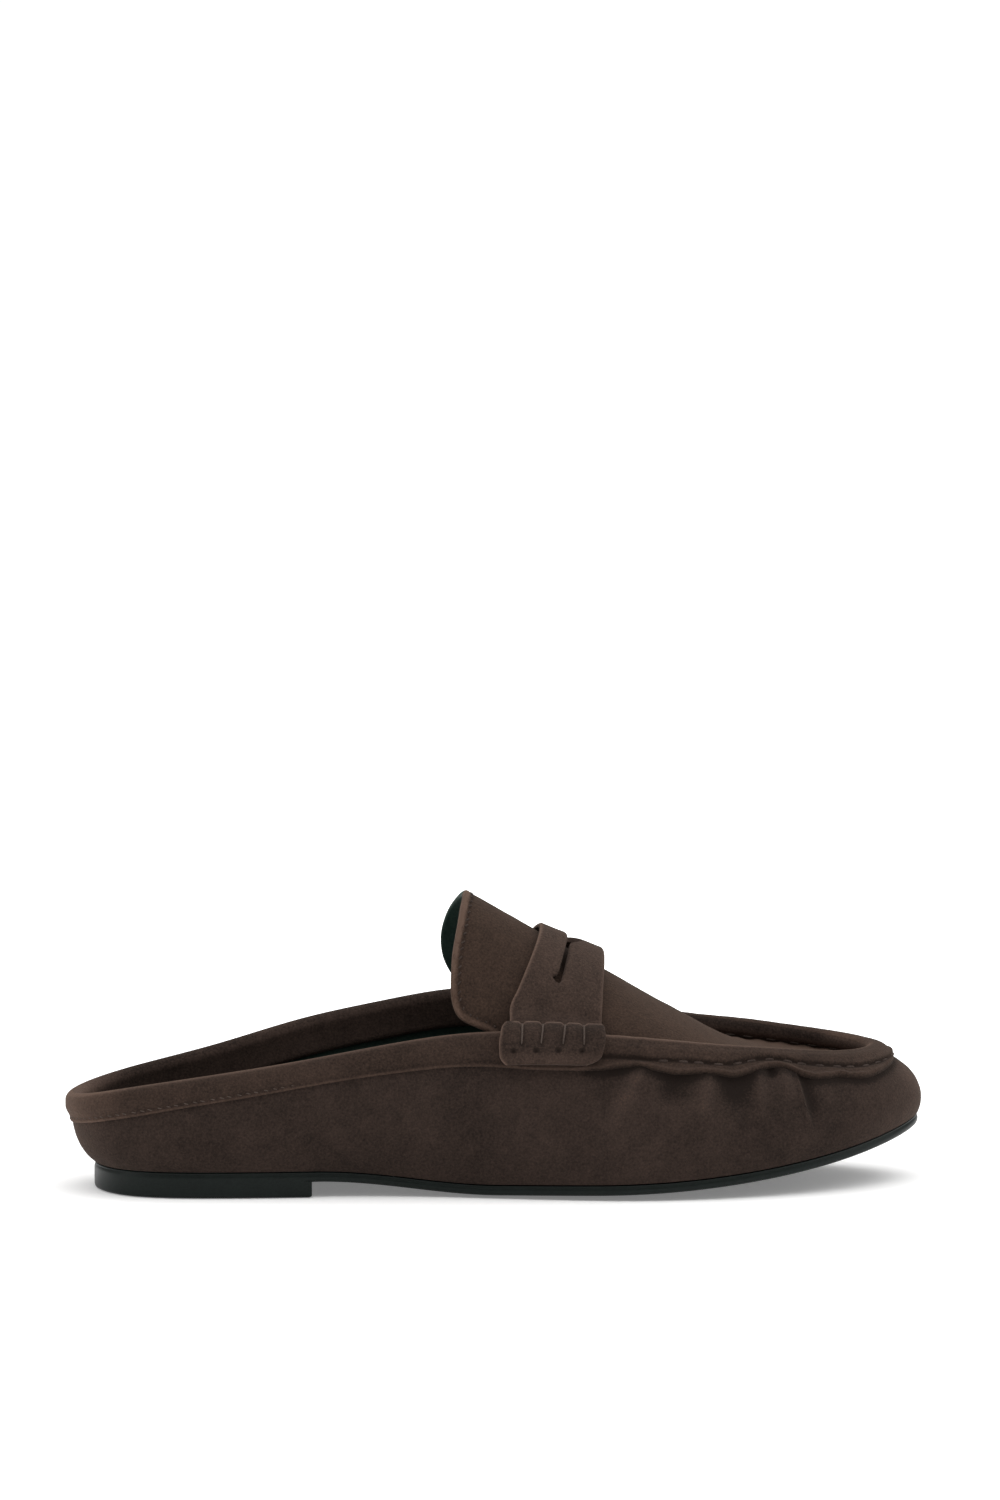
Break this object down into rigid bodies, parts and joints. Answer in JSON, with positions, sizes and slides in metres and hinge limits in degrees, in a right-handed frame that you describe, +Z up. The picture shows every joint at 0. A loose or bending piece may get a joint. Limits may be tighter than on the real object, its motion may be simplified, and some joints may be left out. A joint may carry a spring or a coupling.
{
  "type": "loafer mule",
  "caption": "Right-foot suede loafer mule with a low back, raised moccasin seam, tongue and slotted saddle strap on a thin smooth sole.",
  "frame": {"origin": "middle of the bounding box in plan, on the floor plane that the heel and the forefoot stand on", "axes": "+X towards the toe, +Y towards the inner (medial) side of this right shoe, +Z up"},
  "size_m": [0.2588, 0.085, 0.0883],
  "materials": {
    "sole_rubber": "smooth satin, dark green-black",
    "heel_rubber": "smooth satin, dark green-black",
    "insole_lining": "smooth lining, dark green",
    "upper_suede": "napped suede, dark brown",
    "band_suede": "napped suede, dark brown",
    "apron_suede": "napped suede, dark brown",
    "strap_suede": "napped suede, dark brown"
  },
  "bodies": {
    "root": {"outsole": "sole_rubber", "heel": "heel_rubber", "insole": "insole_lining", "upper": "upper_suede", "collar_band": "band_suede", "apron": "apron_suede", "saddle_strap": "strap_suede"}
  },
  "joints": []
}
